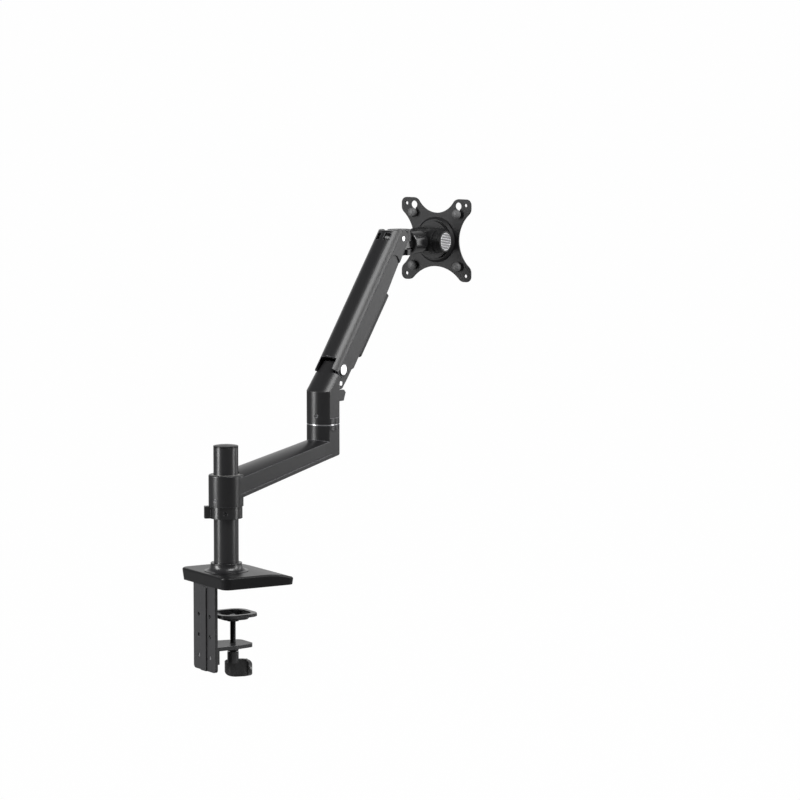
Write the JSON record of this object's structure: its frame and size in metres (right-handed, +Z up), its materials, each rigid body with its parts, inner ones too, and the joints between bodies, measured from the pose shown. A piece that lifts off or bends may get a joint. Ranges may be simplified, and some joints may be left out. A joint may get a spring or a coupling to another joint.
{
  "type": "monitor arm",
  "caption": "Desk-clamp monitor arm: pole, swivelling lower arm, gas-spring parallelogram upper arm, and a pan, tilt and rotate head with an X-shaped mounting plate.",
  "frame": {"origin": "pole axis on the desk top, at the underside of the base pad", "axes": "+Z up along the pole, -Y towards the user, +Y towards the desk edge where the clamp plate hangs"},
  "size_m": [0.3237, 0.523, 0.6123],
  "materials": {
    "arm_coat": "satin powder coat",
    "steel_coat": "satin powder coat",
    "black_plastic": "satin",
    "gloss_black": "gloss paint",
    "gloss_plastic": "gloss",
    "dark_steel": "black oxide",
    "bright_steel": "bright",
    "polished": "polished",
    "spring_paint": "gloss",
    "silver_cap": "satin",
    "rubber": "matte",
    "bush_plastic": "matte"
  },
  "bodies": {
    "base": {"base_pad": "rubber", "base_plate": "steel_coat", "base_cover": "black_plastic", "base_screws": "dark_steel", "pole_socket": "steel_coat", "pole": "steel_coat", "pole_cap": "black_plastic", "pole_plug": "bush_plastic", "pole_bolt": "dark_steel", "clamp_plate": "steel_coat", "bracket_screws": "dark_steel", "clamp_bracket": "steel_coat", "clamp_nut": "dark_steel"},
    "jaw": {"pressure_plate": "steel_coat", "jaw_pad": "rubber"},
    "clamp_screw": {"clamp_screw": "bright_steel", "screw_clip": "dark_steel", "clamp_knob": "black_plastic"},
    "collar": {"stop_collar": "arm_coat", "collar_screw": "dark_steel"},
    "lower_arm": {"lower_arm": "arm_coat", "sleeve_screw": "dark_steel", "sleeve_bushes": "bush_plastic", "lower_arm_cover": "black_plastic", "elbow_shaft": "bright_steel", "elbow_ring": "gloss_plastic"},
    "elbow": {"elbow_knuckle": "arm_coat", "knuckle_screw": "dark_steel", "elbow_bush": "bush_plastic", "spring_lower_pin": "bright_steel"},
    "upper_arm": {"upper_arm_shell": "arm_coat", "main_pivot_pins": "polished", "tip_pivot_pin": "polished", "spring_anchor_pin": "bright_steel"},
    "link": {"lower_link": "arm_coat", "link_root_pins": "polished", "arm_cable_cover": "black_plastic"},
    "spring_cylinder": {"gas_spring_cylinder": "spring_paint"},
    "spring_rod": {"gas_spring_rod": "bright_steel"},
    "front_knuckle": {"front_knuckle": "arm_coat", "link_tip_pin": "polished", "pan_pin": "bright_steel", "pan_washers": "bush_plastic"},
    "head": {"head_body": "gloss_black"},
    "tilt": {"tilt_yoke": "gloss_black", "tilt_bolt": "bright_steel", "tilt_nut": "dark_steel", "tilt_collar": "gloss_black", "tilt_cap": "silver_cap", "plate_retainer": "dark_steel"},
    "plate": {"vesa_plate": "steel_coat", "plate_ring": "steel_coat", "thumb_screws": "dark_steel"}
  },
  "joints": [
    {"name": "jaw_travel", "type": "slide", "parent": "base", "child": "jaw", "axis": [0, 0, 1], "range_m": [-0.02, 0.001]},
    {"name": "screw_turn", "type": "hinge", "parent": "jaw", "child": "clamp_screw", "pos_m": [0, -0.0095, -0.07], "axis": [0, 0, 1], "range_deg": [-5780, 308]},
    {"name": "collar_slide", "type": "slide", "parent": "base", "child": "collar", "axis": [0, 0, 1], "range_m": [-0.055, 0.034]},
    {"name": "arm_swivel", "type": "hinge", "parent": "collar", "child": "lower_arm", "pos_m": [0, 0, 0.125], "axis": [0, 0, 1], "continuous": true},
    {"name": "elbow_swivel", "type": "hinge", "parent": "lower_arm", "child": "elbow", "pos_m": [0.09256, -0.20453, 0.192], "axis": [0, 0, 1], "range_deg": [-150, 150]},
    {"name": "arm_lift", "type": "hinge", "parent": "elbow", "child": "upper_arm", "pos_m": [0.10188, -0.22512, 0.2644], "axis": [-0.911, -0.4123, 0], "range_deg": [-76, 2]},
    {"name": "link_swing", "type": "hinge", "parent": "elbow", "child": "link", "pos_m": [0.10069, -0.22248, 0.2454], "axis": [-0.911, -0.4123, 0], "range_deg": [-76.5, 2.5]},
    {"name": "head_level", "type": "hinge", "parent": "upper_arm", "child": "front_knuckle", "pos_m": [0.16192, -0.35777, 0.43488], "axis": [-0.911, -0.4123, 0], "range_deg": [-2.5, 76.5]},
    {"name": "spring_swing", "type": "hinge", "parent": "upper_arm", "child": "spring_cylinder", "pos_m": [0.149, -0.32924, 0.40745], "axis": [-0.911, -0.4123, 0], "range_deg": [-6, 6]},
    {"name": "spring_stroke", "type": "slide", "parent": "spring_cylinder", "child": "spring_rod", "axis": [0.2485, -0.549, 0.798], "range_m": [-0.003, 0.022]},
    {"name": "head_pan", "type": "hinge", "parent": "front_knuckle", "child": "head", "pos_m": [0.16934, -0.37417, 0.42428], "axis": [0, 0, 1], "range_deg": [-65, 65]},
    {"name": "head_tilt", "type": "hinge", "parent": "head", "child": "tilt", "pos_m": [0.19655, -0.4343, 0.426], "axis": [-0.911, -0.4123, 0], "range_deg": [-45, 45]},
    {"name": "plate_turn", "type": "hinge", "parent": "tilt", "child": "plate", "pos_m": [0.20826, -0.46017, 0.4258], "axis": [0.4123, -0.911, 0], "range_deg": [-180, 180]}
  ],
  "couplings": [
    {"joint": "screw_turn", "follows": "jaw_travel", "rad_per_m": 5026.5},
    {"joint": "link_swing", "follows": "arm_lift", "ratio": 1},
    {"joint": "head_level", "follows": "arm_lift", "ratio": -1},
    {"joint": "spring_swing", "follows": "arm_lift", "ratio": -0.027},
    {"joint": "spring_stroke", "follows": "arm_lift", "m_per_rad": -0.0084}
  ]
}
